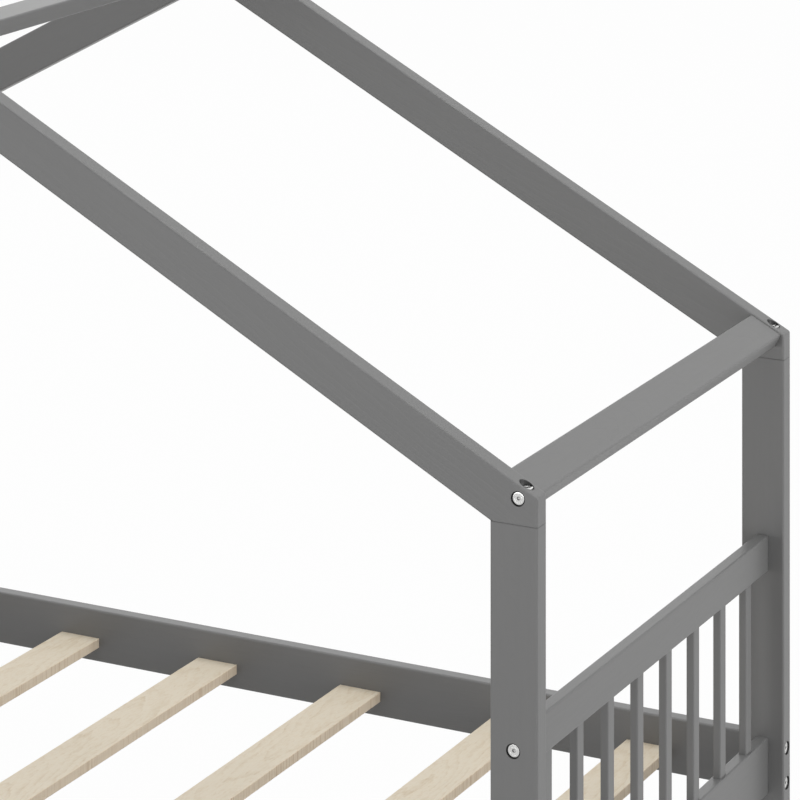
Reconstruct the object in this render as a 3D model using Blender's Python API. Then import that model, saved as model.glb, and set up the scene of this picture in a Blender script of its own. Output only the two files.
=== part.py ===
"""Single bed of painted softwood under a house-shaped roof frame.

The gables stand over the long sides. The origin lies on the floor under the
middle of the bed. +X runs to the head end, +Y to the back and +Z up.
All lengths are in metres.
"""

import math
from dataclasses import dataclass

import bmesh
import bpy
from mathutils import Matrix, Vector

# Frame
BED_LENGTH = 2.102
BED_WIDTH = 0.965
POST_HEIGHT = 0.890
POST_WIDTH = 0.0715
POST_THICKNESS = 0.030
ROOF_SLOPE = math.radians(27.8)
RAFTER_WIDTH = 0.0688

# Roof boards
EAVE_BOARD_WIDTH = 0.057
EAVE_BOARD_THICKNESS = 0.0243
EAVE_BOARD_INSET = 0.0035
EAVE_BOARD_DROP = 0.0024
RIDGE_BOARD_WIDTH = 0.065
RIDGE_BOARD_THICKNESS = 0.026
RIDGE_BOARD_DROP = 0.026

# Side rails and slats
SIDE_RAIL_TOP = 0.2886
SIDE_RAIL_HEIGHT = 0.090
SIDE_RAIL_THICKNESS = 0.0245
SLAT_DROP = 0.0489
SLAT_WIDTH = 0.077
SLAT_THICKNESS = 0.0168
SLAT_POCKET_DEPTH = 0.012
SLAT_END_DISTANCE = 0.234
HEAD_SLAT_PITCH = 0.235
MIDDLE_SLAT_PITCH = 0.291
HEAD_SLAT_COUNT = 2
FOOT_SLAT_COUNT = 5

# End panels
TOP_RAIL_TOP = 0.6077
TOP_RAIL_HEIGHT = 0.0572
LOWER_BOARD_TOP = 0.2863
LOWER_BOARD_HEIGHT = 0.090
PANEL_THICKNESS = 0.021
PANEL_SETBACK = 0.026
SPINDLE_COUNT = 8
SPINDLE_WIDTH = 0.0233
SPINDLE_THICKNESS = 0.0127
SPINDLE_TENON = 0.012
SPINDLE_END_DISTANCE = 0.0738

# Bolts, barrel nuts and screws
BOLT_DIAMETER = 0.006
BOLT_HEAD_DIAMETER = 0.017
BOLT_HEAD_THICKNESS = 0.003
BOLT_HEAD_CHAMFER = 0.0006
BOLT_RECESS_DIAMETER = 0.021
BOLT_RECESS_DEPTH = 0.0045
SOCKET_WIDTH = 0.004
SOCKET_DEPTH = 0.002
NUT_DIAMETER = 0.010
NUT_LENGTH = 0.012
NUT_DISTANCE = 0.034
SCREW_DIAMETER = 0.005
SCREW_DEPTH_IN_POST = 0.035
SCREW_RECESS_DIAMETER = 0.020
SCREW_SEAT_HEIGHT = 0.046
SCREW_INSET = 0.0228
EAVE_BOLT_INSET = 0.0293
EAVE_BOLT_HEIGHT = 0.0357
RIDGE_BOLT_SPACING = 0.036
TOP_RAIL_BOLT_DROP = 0.0268
SIDE_RAIL_BOLT_DROP = 0.019
SIDE_RAIL_BOLT_RISE = 0.0157

# Edges, gaps and mesh density
EDGE_RADIUS = 0.003
EDGE_SEGMENTS = 3
SPINDLE_EDGE_RADIUS = 0.002
SPINDLE_EDGE_SEGMENTS = 2
SLAT_EDGE_RADIUS = 0.0008
SLAT_EDGE_SEGMENTS = 1
JOINT_GAP = 0.0003
CUT_OVERRUN = 0.002
ROUND_SIDES = 12
RECESS_SIDES = 24
SMOOTH_ANGLE = math.radians(40)

# Heights and places that follow from the sizes above
HALF_LENGTH = BED_LENGTH / 2
HALF_WIDTH = BED_WIDTH / 2
RAFTER_RISE = RAFTER_WIDTH / math.cos(ROOF_SLOPE)
HEEL_HEIGHT = RAFTER_RISE - POST_WIDTH * math.tan(ROOF_SLOPE)
PEAK_HEIGHT = POST_HEIGHT + HEEL_HEIGHT + HALF_LENGTH * math.tan(ROOF_SLOPE)
RIDGE_BOARD_TOP = PEAK_HEIGHT - RIDGE_BOARD_DROP
CROSS_LENGTH = BED_WIDTH - 2 * (POST_THICKNESS + JOINT_GAP)
SIDE_RAIL_LENGTH = BED_LENGTH - 2 * (POST_WIDTH + JOINT_GAP)
SIDE_RAIL_PLACE = HALF_WIDTH - POST_THICKNESS / 2
PANEL_PLACE = HALF_LENGTH - PANEL_SETBACK - PANEL_THICKNESS / 2
SLAT_TOP = SIDE_RAIL_TOP - SLAT_DROP
SLAT_LENGTH = 2 * (SIDE_RAIL_PLACE - SIDE_RAIL_THICKNESS / 2 + SLAT_POCKET_DEPTH - JOINT_GAP)

ENDS = {"head": 1, "foot": -1}
SIDES = {"front": -1, "back": 1}
ALONG = Vector((1, 0, 0))
ACROSS = Vector((0, 1, 0))
UP = Vector((0, 0, 1))


@dataclass
class Fastener:
    """A headed bolt or screw, from the face that its head is let into.

    direction points out of the wood. reach is the distance from the mouth of
    the recess to the barrel nut's axis, or to a screw's tip. nut_side points
    from the nut to the face that it was put in through, and is None on a screw.
    """

    name: str
    mouth: Vector
    direction: Vector
    reach: float
    nut_side: Vector = None
    nut_depth: float = 0.0


def clear_scene():
    """Remove every object that the scene already holds."""
    for item in list(bpy.data.objects):
        bpy.data.objects.remove(item, do_unlink=True)


def make_material(name, colour, roughness, metallic=0.0):
    """Return a plain Principled material."""
    material = bpy.data.materials.new(name)
    material.use_nodes = True
    shader = material.node_tree.nodes["Principled BSDF"]
    shader.inputs["Base Color"].default_value = (*colour, 1.0)
    shader.inputs["Roughness"].default_value = roughness
    shader.inputs["Metallic"].default_value = metallic
    return material


def frame_matrix(centre, length_axis, width_axis):
    """Return a placement whose local X and Z run along the two given axes."""
    thickness_axis = width_axis.cross(length_axis)
    turn = Matrix((length_axis, thickness_axis, width_axis)).transposed()
    return Matrix.Translation(centre) @ turn.to_4x4()


def rectangle(length, width):
    """Return the corners of a rectangle round the origin, its ends being sides 1 and 3."""
    x, z = length / 2, width / 2
    return [(-x, -z), (x, -z), (x, z), (-x, z)]


def add_prism(bm, outline, thickness, cut_sides=(), placement=None):
    """Add an outline in XZ with a thickness in Y, and mark the edges to be rounded.

    Sides named in cut_sides are saw cuts, whose edges stay sharp.
    """
    weight = bm.edges.layers.float.get("bevel_weight_edge")
    weight = weight or bm.edges.layers.float.new("bevel_weight_edge")
    count = len(outline)
    near = [bm.verts.new((x, -thickness / 2, z)) for x, z in outline]
    far = [bm.verts.new((x, thickness / 2, z)) for x, z in outline]
    faces = [bm.faces.new(near), bm.faces.new(reversed(far))]
    for i in range(count):
        j = (i + 1) % count
        faces.append(bm.faces.new((near[j], near[i], far[i], far[j])))
    for i in range(count):
        j = (i + 1) % count
        if i in cut_sides:
            continue
        for row in (near, far):
            bm.edges.get((row[i], row[j]))[weight] = 1
        if (i - 1) % count not in cut_sides:
            bm.edges.get((near[i], far[i]))[weight] = 1
    bmesh.ops.recalc_face_normals(bm, faces=faces)
    if placement:
        bmesh.ops.transform(bm, matrix=placement, verts=near + far)


def ring_radius(radius, step, sides, hexagonal):
    """Return the distance to point number step of a ring, round or six-sided."""
    if not hexagonal:
        return radius
    part = math.tau * step / sides % (math.pi / 3)
    return radius / math.cos(part - math.pi / 6)


def add_turned(bm, rings, sides, placement):
    """Add a closed body round the local Z axis from (radius, height, hexagonal) rings."""
    loops = []
    for radius, height, hexagonal in rings:
        loop = []
        for step in range(sides):
            angle = math.tau * step / sides
            reach = ring_radius(radius, step, sides, hexagonal)
            loop.append(bm.verts.new((reach * math.cos(angle), reach * math.sin(angle), height)))
        loops.append(loop)
    faces = [bm.faces.new(reversed(loops[0])), bm.faces.new(loops[-1])]
    for lower, upper in zip(loops, loops[1:]):
        for i in range(sides):
            j = (i + 1) % sides
            faces.append(bm.faces.new((lower[i], lower[j], upper[j], upper[i])))
    bmesh.ops.recalc_face_normals(bm, faces=faces)
    bmesh.ops.transform(bm, matrix=placement, verts=[v for loop in loops for v in loop])


def make_object(name, bm, parent, material=None):
    """Turn a bmesh into an object with its material."""
    mesh = bpy.data.meshes.new(name)
    bm.to_mesh(mesh)
    bm.free()
    item = bpy.data.objects.new(name, mesh)
    bpy.context.collection.objects.link(item)
    item.parent = parent
    if material:
        mesh.materials.append(material)
    return item


def round_edges(item, radius, segments):
    """Round the marked edges of an object."""
    bevel = item.modifiers.new("rounded_edges", "BEVEL")
    bevel.limit_method = "WEIGHT"
    bevel.width = radius
    bevel.segments = segments


def cut(item, *cutters):
    """Cut each cutter out of an object."""
    for cutter in cutters:
        boolean = item.modifiers.new(cutter.name, "BOOLEAN")
        boolean.operation = "DIFFERENCE"
        boolean.object = cutter


def hide_cutter(item):
    """Show a cutter as wires and keep it out of the model."""
    item.hide_render = True
    item.display_type = "WIRE"
    return item


def make_board(name, size, placement, parent, material, radius=EDGE_RADIUS, segments=EDGE_SEGMENTS):
    """Make a board of (length, width, thickness) with sawn ends and rounded long edges."""
    length, width, thickness = size
    bm = bmesh.new()
    add_prism(bm, rectangle(length, width), thickness, cut_sides=(1, 3))
    item = make_object(name, bm, parent, material)
    item.matrix_local = placement
    round_edges(item, radius, segments)
    return item


def make_post(end, side, parent, material, cutters):
    """Make one corner post, square to the floor, with a sawn top."""
    bm = bmesh.new()
    add_prism(bm, rectangle(POST_WIDTH, POST_HEIGHT), POST_THICKNESS, cut_sides=(2,))
    post = make_object(f"post_{end}_{side}", bm, parent, material)
    post.location = (
        ENDS[end] * (HALF_LENGTH - POST_WIDTH / 2),
        SIDES[side] * (HALF_WIDTH - POST_THICKNESS / 2),
        POST_HEIGHT / 2,
    )
    round_edges(post, EDGE_RADIUS, EDGE_SEGMENTS)
    cut(post, *cutters)


def roof_height(inset):
    """Return the height of the roof plane at a distance in from either end of the bed."""
    return POST_HEIGHT + HEEL_HEIGHT + inset * math.tan(ROOF_SLOPE)


def rafter_outline(direction):
    """Return a rafter's outline from its seat on the post to the mitre at the peak.

    Side 0 is the seat and side 3 the mitre.
    """
    seat = POST_HEIGHT + JOINT_GAP
    seat_end = (seat + RAFTER_RISE - roof_height(0)) / math.tan(ROOF_SLOPE)
    mitre = HALF_LENGTH - JOINT_GAP / 2
    from_outside = [
        (seat_end, seat),
        (0, seat),
        (0, roof_height(0)),
        (mitre, roof_height(mitre)),
        (mitre, roof_height(mitre) - RAFTER_RISE),
    ]
    return [(direction * (HALF_LENGTH - inset), height) for inset, height in from_outside]


def make_rafter(end, side, parent, material, cutters):
    """Make one rafter of a gable."""
    bm = bmesh.new()
    add_prism(bm, rafter_outline(ENDS[end]), POST_THICKNESS, cut_sides=(0, 3))
    rafter = make_object(f"rafter_{end}_{side}", bm, parent, material)
    rafter.location.y = SIDES[side] * (HALF_WIDTH - POST_THICKNESS / 2)
    round_edges(rafter, EDGE_RADIUS, EDGE_SEGMENTS)
    cut(rafter, *cutters)


def roof_normal(end):
    """Return the direction square to the roof plane over one end."""
    return Vector((ENDS[end] * math.sin(ROOF_SLOPE), 0, math.cos(ROOF_SLOPE)))


def make_eave_board(end, parent, material, cutters):
    """Make the board that lies just under the roof plane, between the rafters' feet."""
    normal = roof_normal(end)
    down_slope = ACROSS.cross(normal) * ENDS[end]
    middle = EAVE_BOARD_INSET + EAVE_BOARD_WIDTH / 2 * math.cos(ROOF_SLOPE)
    centre = Vector((ENDS[end] * (HALF_LENGTH - middle), 0, roof_height(middle)))
    centre -= normal * (EAVE_BOARD_DROP + EAVE_BOARD_THICKNESS / 2)
    size = (CROSS_LENGTH, EAVE_BOARD_WIDTH, EAVE_BOARD_THICKNESS)
    placement = frame_matrix(centre, ACROSS, down_slope)
    board = make_board(f"eave_board_{end}", size, placement, parent, material)
    cut(board, *cutters)


def make_ridge_board(parent, material, cutters):
    """Make the board that lies flat between the two gables, just under their peaks."""
    size = (CROSS_LENGTH, RIDGE_BOARD_WIDTH, RIDGE_BOARD_THICKNESS)
    centre = UP * (RIDGE_BOARD_TOP - RIDGE_BOARD_THICKNESS / 2)
    placement = frame_matrix(centre, ACROSS, ALONG)
    board = make_board("ridge_board", size, placement, parent, material)
    cut(board, *cutters)


def make_side_rail(side, parent, material, cutters):
    """Make one long rail, whose inner face has a pocket for the end of each slat."""
    size = (SIDE_RAIL_LENGTH, SIDE_RAIL_HEIGHT, SIDE_RAIL_THICKNESS)
    centre = (0, SIDES[side] * SIDE_RAIL_PLACE, SIDE_RAIL_TOP - SIDE_RAIL_HEIGHT / 2)
    placement = frame_matrix(centre, ALONG, UP)
    rail = make_board(f"side_rail_{side}", size, placement, parent, material)
    cut(rail, *cutters)


def slat_places():
    """Return the slats' places along the bed, from the head end to the foot end.

    The slats under the head lie closer together. The others share the rest evenly.
    """
    first = HALF_LENGTH - SLAT_END_DISTANCE
    head = [first - HEAD_SLAT_PITCH * i for i in range(HEAD_SLAT_COUNT)]
    pitch = (head[-1] - MIDDLE_SLAT_PITCH + first) / (FOOT_SLAT_COUNT - 1)
    foot = [pitch * i - first for i in range(FOOT_SLAT_COUNT)]
    return head + foot[::-1]


def slat_centre(place):
    """Return the middle of the slat at one place along the bed."""
    return Vector((place, 0, SLAT_TOP - SLAT_THICKNESS / 2))


def make_slats(parent, material):
    """Make the loose slats that carry the mattress."""
    size = (SLAT_LENGTH, SLAT_WIDTH, SLAT_THICKNESS)
    for number, place in enumerate(slat_places(), start=1):
        placement = frame_matrix(slat_centre(place), ACROSS, ALONG)
        make_board(
            f"slat_{number}", size, placement, parent, material, SLAT_EDGE_RADIUS, SLAT_EDGE_SEGMENTS
        )


def make_slat_pockets(parent):
    """Make the cutter for the pockets in both side rails."""
    bm = bmesh.new()
    around = 2 * JOINT_GAP
    for place in slat_places():
        placement = frame_matrix(slat_centre(place), ACROSS, ALONG)
        outline = rectangle(SLAT_LENGTH + around, SLAT_WIDTH + around)
        add_prism(bm, outline, SLAT_THICKNESS + around, placement=placement)
    return hide_cutter(make_object("slat_pockets", bm, parent))


def spindle_places():
    """Return the spindles' places across the bed, from the front to the back."""
    first = HALF_WIDTH - POST_THICKNESS - SPINDLE_END_DISTANCE
    pitch = 2 * first / (SPINDLE_COUNT - 1)
    return [pitch * i - first for i in range(SPINDLE_COUNT)]


def spindle_span():
    """Return the spindles' lowest and highest points, their tenons included."""
    return LOWER_BOARD_TOP - SPINDLE_TENON, TOP_RAIL_TOP - TOP_RAIL_HEIGHT + SPINDLE_TENON


def spindle_placement(end, place):
    """Return the placement of the spindle at one place across the bed."""
    low, high = spindle_span()
    centre = (ENDS[end] * PANEL_PLACE, place, (low + high) / 2)
    return frame_matrix(centre, UP, ACROSS)


def make_spindles(end, parent, material):
    """Make the flat upright spindles of one end panel."""
    low, high = spindle_span()
    size = (high - low, SPINDLE_WIDTH, SPINDLE_THICKNESS)
    for number, place in enumerate(spindle_places(), start=1):
        placement = spindle_placement(end, place)
        make_board(
            f"{end}_spindle_{number}",
            size,
            placement,
            parent,
            material,
            SPINDLE_EDGE_RADIUS,
            SPINDLE_EDGE_SEGMENTS,
        )


def make_mortises(end, parent):
    """Make the cutter for the mortises that hold the spindles of one end panel."""
    bm = bmesh.new()
    around = 2 * JOINT_GAP
    low, high = spindle_span()
    for place in spindle_places():
        outline = rectangle(high - low + around, SPINDLE_WIDTH + around)
        placement = spindle_placement(end, place)
        add_prism(bm, outline, SPINDLE_THICKNESS + around, (1, 3), placement)
    cutter = make_object(f"{end}_mortises", bm, parent)
    round_edges(cutter, SPINDLE_EDGE_RADIUS, SPINDLE_EDGE_SEGMENTS)
    return hide_cutter(cutter)


def make_panel_board(name, end, top, height, parent, material, cutters):
    """Make a cross board of an end panel."""
    size = (CROSS_LENGTH, height, PANEL_THICKNESS)
    centre = (ENDS[end] * PANEL_PLACE, 0, top - height / 2)
    board = make_board(name, size, frame_matrix(centre, ACROSS, UP), parent, material)
    cut(board, *cutters)


def cross_bolt(name, side, x, z, nut_side, nut_depth):
    """Return a bolt that runs across the bed, through a post or rafter into a board's end."""
    outward = ACROSS * SIDES[side]
    mouth = Vector((x, SIDES[side] * HALF_WIDTH, z))
    reach = POST_THICKNESS + JOINT_GAP + NUT_DISTANCE
    return Fastener(name, mouth, outward, reach, nut_side, nut_depth)


def rafter_screw(end, side):
    """Return the upright screw that holds a rafter's foot down on its post."""
    seat = POST_HEIGHT + SCREW_SEAT_HEIGHT
    x = ENDS[end] * (HALF_LENGTH - SCREW_INSET)
    y = SIDES[side] * (HALF_WIDTH - POST_THICKNESS / 2)
    mouth = Vector((x, y, seat + BOLT_RECESS_DEPTH))
    reach = BOLT_RECESS_DEPTH + SCREW_SEAT_HEIGHT + SCREW_DEPTH_IN_POST
    return Fastener(f"rafter_screw_{end}_{side}", mouth, UP, reach)


def eave_bolt(end, side):
    """Return the bolt from a rafter's foot into the end of its eave board."""
    normal = roof_normal(end)
    x = ENDS[end] * (HALF_LENGTH - EAVE_BOLT_INSET)
    z = POST_HEIGHT + EAVE_BOLT_HEIGHT
    below_roof = (roof_height(EAVE_BOLT_INSET) - z) * math.cos(ROOF_SLOPE)
    depth_in_board = EAVE_BOARD_DROP + EAVE_BOARD_THICKNESS - below_roof
    return cross_bolt(f"eave_bolt_{end}_{side}", side, x, z, -normal, depth_in_board)


def ridge_bolt(end, side):
    """Return the bolt from a rafter's top end into the end of the ridge board."""
    x = ENDS[end] * RIDGE_BOLT_SPACING / 2
    z = RIDGE_BOARD_TOP - RIDGE_BOARD_THICKNESS / 2
    name = f"ridge_bolt_{end}_{side}"
    return cross_bolt(name, side, x, z, -UP, RIDGE_BOARD_THICKNESS / 2)


def panel_bolt(name, end, side, z):
    """Return the bolt from a post's side into the end of a cross board."""
    inward = -ALONG * ENDS[end]
    return cross_bolt(name, side, ENDS[end] * PANEL_PLACE, z, inward, PANEL_THICKNESS / 2)


def side_rail_bolt(name, end, side, z):
    """Return a bolt from a post's end face into the end of a side rail."""
    outward = ALONG * ENDS[end]
    mouth = Vector((ENDS[end] * HALF_LENGTH, SIDES[side] * SIDE_RAIL_PLACE, z))
    reach = POST_WIDTH + JOINT_GAP + NUT_DISTANCE
    inward = -ACROSS * SIDES[side]
    return Fastener(name, mouth, outward, reach, inward, SIDE_RAIL_THICKNESS / 2)


def list_fasteners():
    """Return the fasteners that are modelled, and those of which only the bores are."""
    modelled = []
    bores_only = []
    upper = SIDE_RAIL_TOP - SIDE_RAIL_BOLT_DROP
    lower = SIDE_RAIL_TOP - SIDE_RAIL_HEIGHT + SIDE_RAIL_BOLT_RISE
    for end in ENDS:
        for side in SIDES:
            corner = f"{end}_{side}"
            modelled += [
                rafter_screw(end, side),
                eave_bolt(end, side),
                panel_bolt(f"top_rail_bolt_{corner}", end, side, TOP_RAIL_TOP - TOP_RAIL_BOLT_DROP),
                side_rail_bolt(f"side_rail_bolt_{corner}_upper", end, side, upper),
                side_rail_bolt(f"side_rail_bolt_{corner}_lower", end, side, lower),
            ]
            middle = LOWER_BOARD_TOP - LOWER_BOARD_HEIGHT / 2
            bores_only += [
                ridge_bolt(end, side),
                panel_bolt(f"lower_board_bolt_{corner}", end, side, middle),
            ]
    return modelled, bores_only


def turned_placement(point, direction):
    """Return a placement with local Z along direction."""
    turn = direction.to_track_quat("Z", "Y").to_matrix().to_4x4()
    return Matrix.Translation(point) @ turn


def shank_diameter(fastener):
    """Return the thickness of a fastener's shank."""
    return BOLT_DIAMETER if fastener.nut_side else SCREW_DIAMETER


def make_recesses(fasteners, parent):
    """Make the cutter for the round recesses that the heads lie in.

    A screw's recess runs on upwards until it is clear of the sloping roof plane.
    """
    bm = bmesh.new()
    for fastener in fasteners:
        radius = BOLT_RECESS_DIAMETER / 2
        top = CUT_OVERRUN
        if not fastener.nut_side:
            radius = SCREW_RECESS_DIAMETER / 2
            top = roof_height(SCREW_INSET + SCREW_RECESS_DIAMETER) - fastener.mouth.z
        rings = [(radius, -BOLT_RECESS_DEPTH, False), (radius, top, False)]
        add_turned(bm, rings, RECESS_SIDES, turned_placement(fastener.mouth, fastener.direction))
    return hide_cutter(make_object("head_recesses", bm, parent))


def make_shank_holes(fasteners, parent):
    """Make the cutter for the holes that the shanks pass through or end in."""
    bm = bmesh.new()
    for fastener in fasteners:
        radius = shank_diameter(fastener) / 2 + JOINT_GAP
        bottom = fastener.reach + JOINT_GAP
        if fastener.nut_side:
            bottom += NUT_DIAMETER / 2
        top = CUT_OVERRUN - BOLT_RECESS_DEPTH
        rings = [(radius, -bottom, False), (radius, top, False)]
        add_turned(bm, rings, ROUND_SIDES, turned_placement(fastener.mouth, fastener.direction))
    return hide_cutter(make_object("shank_holes", bm, parent))


def nut_point(fastener):
    """Return the middle of a fastener's barrel nut."""
    return fastener.mouth - fastener.direction * fastener.reach


def make_nut_bores(fasteners, parent):
    """Make the cutter for the cross holes that the barrel nuts lie in."""
    bm = bmesh.new()
    radius = NUT_DIAMETER / 2 + JOINT_GAP
    for fastener in fasteners:
        if fastener.nut_side:
            rings = [
                (radius, -NUT_LENGTH / 2 - JOINT_GAP, False),
                (radius, fastener.nut_depth + CUT_OVERRUN, False),
            ]
            placement = turned_placement(nut_point(fastener), fastener.nut_side)
            add_turned(bm, rings, ROUND_SIDES, placement)
    return hide_cutter(make_object("nut_bores", bm, parent))


def make_fastener(fastener, parent, material):
    """Make a bolt with its barrel nut, or a screw."""
    shank = shank_diameter(fastener) / 2
    head = BOLT_HEAD_DIAMETER / 2
    under = -BOLT_RECESS_DEPTH + JOINT_GAP
    top = under + BOLT_HEAD_THICKNESS
    tip = -fastener.reach
    rings = [
        (shank, tip, False),
        (shank, under, False),
        (head, under, False),
        (head, top - BOLT_HEAD_CHAMFER, False),
        (head - BOLT_HEAD_CHAMFER, top, False),
        (SOCKET_WIDTH / 2, top, True),
        (SOCKET_WIDTH / 2, top - SOCKET_DEPTH, True),
    ]
    bm = bmesh.new()
    add_turned(bm, rings, ROUND_SIDES, Matrix.Identity(4))
    item = make_object(fastener.name, bm, parent, material)
    item.matrix_local = turned_placement(fastener.mouth, fastener.direction)
    if fastener.nut_side:
        join_nut(item, fastener, parent)
    item.data.shade_smooth()
    item.data.set_sharp_from_angle(angle=SMOOTH_ANGLE)


def join_nut(item, fastener, parent):
    """Join the barrel nut to the bolt that is screwed into it."""
    bm = bmesh.new()
    half = NUT_LENGTH / 2
    rings = [(NUT_DIAMETER / 2, -half, False), (NUT_DIAMETER / 2, half, False)]
    placement = turned_placement(nut_point(fastener), fastener.nut_side)
    add_turned(bm, rings, ROUND_SIDES, placement)
    nut = hide_cutter(make_object(f"nut_of_{fastener.name}", bm, parent))
    union = item.modifiers.new("barrel_nut", "BOOLEAN")
    union.operation = "UNION"
    union.object = nut


def build():
    """Build the whole bed."""
    clear_scene()
    bed = bpy.data.objects.new("bed", None)
    bpy.context.collection.objects.link(bed)

    grey = make_material("grey_lacquer", (0.178, 0.178, 0.177), 0.42)
    pine = make_material("bare_pine", (0.81, 0.71, 0.56), 0.6)
    zinc = make_material("zinc_plate", (0.58, 0.58, 0.57), 0.2, 1.0)

    modelled, bores_only = list_fasteners()
    recesses = make_recesses(modelled + bores_only, bed)
    shank_holes = make_shank_holes(modelled + bores_only, bed)
    nut_bores = make_nut_bores(modelled + bores_only, bed)
    slat_pockets = make_slat_pockets(bed)
    headed_side = (recesses, shank_holes)
    nut_side = (shank_holes, nut_bores)

    for end in ENDS:
        cutters = (*nut_side, make_mortises(end, bed))
        name = f"{end}_top_rail"
        make_panel_board(name, end, TOP_RAIL_TOP, TOP_RAIL_HEIGHT, bed, grey, cutters)
        name = f"{end}_lower_board"
        make_panel_board(name, end, LOWER_BOARD_TOP, LOWER_BOARD_HEIGHT, bed, grey, cutters)
        make_spindles(end, bed, grey)
        make_eave_board(end, bed, grey, nut_side)
        for side in SIDES:
            make_post(end, side, bed, grey, headed_side)
            make_rafter(end, side, bed, grey, headed_side)

    for side in SIDES:
        make_side_rail(side, bed, grey, (*nut_side, slat_pockets))
    make_ridge_board(bed, grey, nut_side)
    make_slats(bed, pine)
    for fastener in modelled:
        make_fastener(fastener, bed, zinc)


build()
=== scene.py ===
"""House-frame bed: its lacquer and bare pine, its bolts, nuts and screws, the studio and camera.

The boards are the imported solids, and each gets the figure of its own piece of timber here.
The bolts, barrel nuts and screws are turned here with sockets, slots and threads, and stand
for the plain solids in their places. Lengths are in metres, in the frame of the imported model:
+X to the head end, +Y to the back and +Z up, from the floor under the middle of the bed.
"""

import logging
import math
import random
from dataclasses import dataclass, field
from enum import Enum

import bpy
from mathutils import Matrix, Vector


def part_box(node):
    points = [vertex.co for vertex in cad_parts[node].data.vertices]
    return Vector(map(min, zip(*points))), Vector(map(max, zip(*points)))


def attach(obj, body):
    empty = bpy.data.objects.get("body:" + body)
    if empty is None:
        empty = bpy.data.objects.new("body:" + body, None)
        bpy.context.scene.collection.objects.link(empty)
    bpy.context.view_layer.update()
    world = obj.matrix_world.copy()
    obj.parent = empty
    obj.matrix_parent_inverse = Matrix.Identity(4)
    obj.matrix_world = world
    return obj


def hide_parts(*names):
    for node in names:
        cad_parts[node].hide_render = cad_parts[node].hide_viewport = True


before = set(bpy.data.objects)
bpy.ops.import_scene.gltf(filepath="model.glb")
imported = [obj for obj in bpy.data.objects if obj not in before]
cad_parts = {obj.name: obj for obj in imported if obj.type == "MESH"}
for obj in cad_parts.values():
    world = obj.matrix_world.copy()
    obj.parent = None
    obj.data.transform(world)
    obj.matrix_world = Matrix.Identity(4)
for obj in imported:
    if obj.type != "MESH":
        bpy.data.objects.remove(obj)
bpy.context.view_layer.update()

ROOF_SLOPE = math.radians(27.8)
SLOPE_COS = math.cos(ROOF_SLOPE)
SLOPE_SIN = math.sin(ROOF_SLOPE)
RECESS_PROBE = 0.004
SHARP_ANGLE = math.radians(30)
WELD_DISTANCE = 0.000001
WHITE = (1.0, 1.0, 1.0)
Triple = tuple[float, float, float]

log = logging.getLogger("house_frame_bed")


class Value:
    """The output of a node, for use in Python expressions, which add their Math nodes."""

    def __init__(self, graph: "Graph", socket: bpy.types.NodeSocket) -> None:
        """Keep the node's output and the graph that it belongs to."""
        self.graph = graph
        self.socket = socket

    def __add__(self, other: "Value | float") -> "Value":
        """Add a number to this one."""
        return self.graph.maths("ADD", self, other)

    __radd__ = __add__

    def __sub__(self, other: "Value | float") -> "Value":
        """Take a number from this one."""
        return self.graph.maths("SUBTRACT", self, other)

    def __rsub__(self, other: float) -> "Value":
        """Take this number from another."""
        return self.graph.maths("SUBTRACT", other, self)

    def __mul__(self, other: "Value | float") -> "Value":
        """Multiply this number by another."""
        return self.graph.maths("MULTIPLY", self, other)

    __rmul__ = __mul__

    def __truediv__(self, other: "Value | float") -> "Value":
        """Divide this number by another."""
        return self.graph.maths("DIVIDE", self, other)

    def __rtruediv__(self, other: float) -> "Value":
        """Divide another number by this one."""
        return self.graph.maths("DIVIDE", other, self)

    def __mod__(self, other: "Value | float") -> "Value":
        """Return the rest of this number after a division."""
        return self.graph.maths("FLOORED_MODULO", self, other)

    def __pow__(self, power: float) -> "Value":
        """Raise this number to a power."""
        return self.graph.maths("POWER", self, power)

    def __abs__(self) -> "Value":
        """Return this number without its sign."""
        return self.graph.maths("ABSOLUTE", self)


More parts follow.
